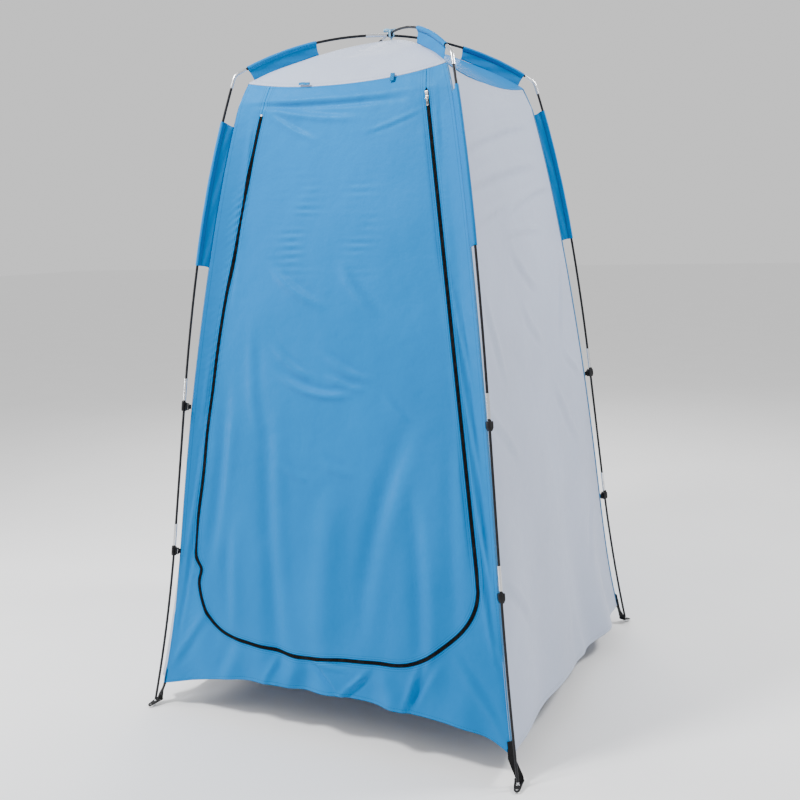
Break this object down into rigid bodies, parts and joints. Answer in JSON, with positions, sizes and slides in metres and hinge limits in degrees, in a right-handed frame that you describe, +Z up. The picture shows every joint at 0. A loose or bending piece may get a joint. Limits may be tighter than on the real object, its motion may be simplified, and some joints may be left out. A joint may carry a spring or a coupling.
{
  "type": "privacy shower tent",
  "caption": "Freestanding privacy shower tent: crossed arched poles on pin feet hold a square fabric cabin with a peaked roof, pole sleeves, clips and a zipped door flap.",
  "frame": {"origin": "on the ground under the crossing of the poles, in the middle of the four feet", "axes": "+Z up; the front wall with the zipped door faces -Y; +X is the right side seen from the front"},
  "size_m": [1.1448, 1.161, 1.9162],
  "materials": {
    "blue_fabric": "sky blue coated polyester, fine plain weave, soft sheen",
    "grey_fabric": "silver grey coated polyester, soft metallic sheen",
    "fibreglass": "black wrapped fibreglass, semi gloss",
    "steel": "bright plated steel",
    "elastic": "braided elastic cord",
    "zip_coil": "black nylon coil on woven tape",
    "zip_metal": "nickel plated zinc",
    "black_plastic": "moulded black plastic, fine grain",
    "black_webbing": "woven black webbing",
    "tie_tape": "narrow light blue woven tape",
    "door_tie_tape": "narrow dark blue woven tape"
  },
  "bodies": {
    "tent": {"back_wall": "blue_fabric", "corner_straps": "black_webbing", "crossing_tie": "tie_tape", "elbows": "steel", "foot_pins": "steel", "front_wall_header": "blue_fabric", "front_wall_left": "blue_fabric", "front_wall_right": "blue_fabric", "front_wall_sill": "blue_fabric", "left_wall": "grey_fabric", "pole_ferrules": "steel", "pole_lower_back_left": "fibreglass", "pole_lower_back_right": "fibreglass", "pole_lower_front_left": "fibreglass", "pole_lower_front_right": "fibreglass", "pole_middle_back_left": "fibreglass", "pole_middle_back_right": "fibreglass", "pole_middle_front_left": "fibreglass", "pole_middle_front_right": "fibreglass", "pole_roof_back_left": "fibreglass", "pole_roof_back_right": "fibreglass", "pole_roof_front_left": "fibreglass", "pole_roof_front_right": "fibreglass", "pole_upper_back_left": "fibreglass", "pole_upper_back_right": "fibreglass", "pole_upper_front_left": "fibreglass", "pole_upper_front_right": "fibreglass", "right_wall": "grey_fabric", "roof_back": "grey_fabric", "roof_front": "grey_fabric", "roof_left": "blue_fabric", "roof_right": "blue_fabric", "roof_sleeves": "blue_fabric", "shock_cord_a": "elastic", "shock_cord_b": "elastic", "wall_sleeves": "blue_fabric", "zip_frame_half": "zip_coil"},
    "door": {"door_panel": "blue_fabric", "zip_door_half": "zip_coil"},
    "slider_upper": {"zip_slider_upper": "zip_metal"},
    "slider_lower": {"zip_slider_lower": "zip_metal"},
    "pull_inner": {"zip_pull_inner": "zip_metal"},
    "pull_outer": {"zip_pull_outer": "zip_metal"},
    "clip_lower_back_left": {"clip_lower_back_left": "black_plastic"},
    "clip_lower_back_right": {"clip_lower_back_right": "black_plastic"},
    "clip_lower_front_left": {"clip_lower_front_left": "black_plastic"},
    "clip_lower_front_right": {"clip_lower_front_right": "black_plastic"},
    "clip_upper_back_left": {"clip_upper_back_left": "black_plastic"},
    "clip_upper_back_right": {"clip_upper_back_right": "black_plastic"},
    "clip_upper_front_left": {"clip_upper_front_left": "black_plastic"},
    "clip_upper_front_right": {"clip_upper_front_right": "black_plastic"},
    "door_tie_left": {"door_tie_left": "door_tie_tape"},
    "door_tie_right": {"door_tie_right": "door_tie_tape"},
    "foot_ring_back_left": {"foot_ring_back_left": "black_plastic"},
    "foot_ring_back_right": {"foot_ring_back_right": "black_plastic"},
    "foot_ring_front_left": {"foot_ring_front_left": "black_plastic"},
    "foot_ring_front_right": {"foot_ring_front_right": "black_plastic"}
  },
  "joints": [
    {"name": "door_fold", "type": "hinge", "parent": "tent", "child": "door", "pos_m": [0, -0.32408, 1.6402], "axis": [-1, 0, 0], "range_deg": [0, 100]},
    {"name": "upper_slider_run", "type": "slide", "parent": "tent", "child": "slider_upper", "axis": [0.1463, -0.1323, -0.9804], "range_m": [0, 0.59]},
    {"name": "lower_slider_run", "type": "slide", "parent": "slider_upper", "child": "slider_lower", "axis": [0.1463, -0.1323, -0.9804], "range_m": [0, 0.59]},
    {"name": "inner_pull_swing", "type": "hinge", "parent": "slider_upper", "child": "pull_inner", "pos_m": [0.25066, -0.31334, 1.68166], "axis": [0.9892, 0.0196, 0.145], "range_deg": [0, 110]},
    {"name": "outer_pull_swing", "type": "hinge", "parent": "slider_lower", "child": "pull_outer", "pos_m": [0.25243, -0.32268, 1.67081], "axis": [-0.9892, -0.0196, -0.145], "range_deg": [0, 110]},
    {"name": "clip_lower_front_left_turn", "type": "hinge", "parent": "tent", "child": "clip_lower_front_left", "pos_m": [-0.49846, -0.49846, 0.45968], "axis": [0.1002, 0.1002, 0.9899], "range_deg": [-25, 25]},
    {"name": "clip_lower_front_right_turn", "type": "hinge", "parent": "tent", "child": "clip_lower_front_right", "pos_m": [0.49846, -0.49846, 0.45968], "axis": [-0.1002, 0.1002, 0.9899], "range_deg": [-25, 25]},
    {"name": "clip_lower_back_right_turn", "type": "hinge", "parent": "tent", "child": "clip_lower_back_right", "pos_m": [0.49846, 0.49846, 0.45968], "axis": [-0.1002, -0.1002, 0.9899], "range_deg": [-25, 25]},
    {"name": "clip_lower_back_left_turn", "type": "hinge", "parent": "tent", "child": "clip_lower_back_left", "pos_m": [-0.49846, 0.49846, 0.45968], "axis": [0.1002, -0.1002, 0.9899], "range_deg": [-25, 25]},
    {"name": "clip_upper_front_left_turn", "type": "hinge", "parent": "tent", "child": "clip_upper_front_left", "pos_m": [-0.45885, -0.45885, 0.87693], "axis": [0.0937, 0.0937, 0.9912], "range_deg": [-25, 25]},
    {"name": "clip_upper_front_right_turn", "type": "hinge", "parent": "tent", "child": "clip_upper_front_right", "pos_m": [0.45885, -0.45885, 0.87693], "axis": [-0.0937, 0.0937, 0.9912], "range_deg": [-25, 25]},
    {"name": "clip_upper_back_right_turn", "type": "hinge", "parent": "tent", "child": "clip_upper_back_right", "pos_m": [0.45885, 0.45885, 0.87693], "axis": [-0.0937, -0.0937, 0.9912], "range_deg": [-25, 25]},
    {"name": "clip_upper_back_left_turn", "type": "hinge", "parent": "tent", "child": "clip_upper_back_left", "pos_m": [-0.45885, 0.45885, 0.87693], "axis": [0.0937, -0.0937, 0.9912], "range_deg": [-25, 25]},
    {"name": "foot_ring_front_left_turn", "type": "hinge", "parent": "tent", "child": "foot_ring_front_left", "pos_m": [-0.55816, -0.55816, 0.011], "axis": [0.1627, 0.1627, 0.9732], "range_deg": [-30, 30]},
    {"name": "foot_ring_front_right_turn", "type": "hinge", "parent": "tent", "child": "foot_ring_front_right", "pos_m": [0.55816, -0.55816, 0.011], "axis": [-0.1627, 0.1627, 0.9732], "range_deg": [-30, 30]},
    {"name": "foot_ring_back_right_turn", "type": "hinge", "parent": "tent", "child": "foot_ring_back_right", "pos_m": [0.55816, 0.55816, 0.011], "axis": [-0.1627, -0.1627, 0.9732], "range_deg": [-30, 30]},
    {"name": "foot_ring_back_left_turn", "type": "hinge", "parent": "tent", "child": "foot_ring_back_left", "pos_m": [-0.55816, 0.55816, 0.011], "axis": [0.1627, -0.1627, 0.9732], "range_deg": [-30, 30]},
    {"name": "door_tie_left_swing", "type": "hinge", "parent": "tent", "child": "door_tie_left", "pos_m": [-0.115, -0.29719, 1.74374], "axis": [-1, 0, 0], "range_deg": [0, 110]},
    {"name": "door_tie_right_swing", "type": "hinge", "parent": "tent", "child": "door_tie_right", "pos_m": [0.148, -0.29719, 1.74374], "axis": [-1, 0, 0], "range_deg": [0, 110]}
  ]
}
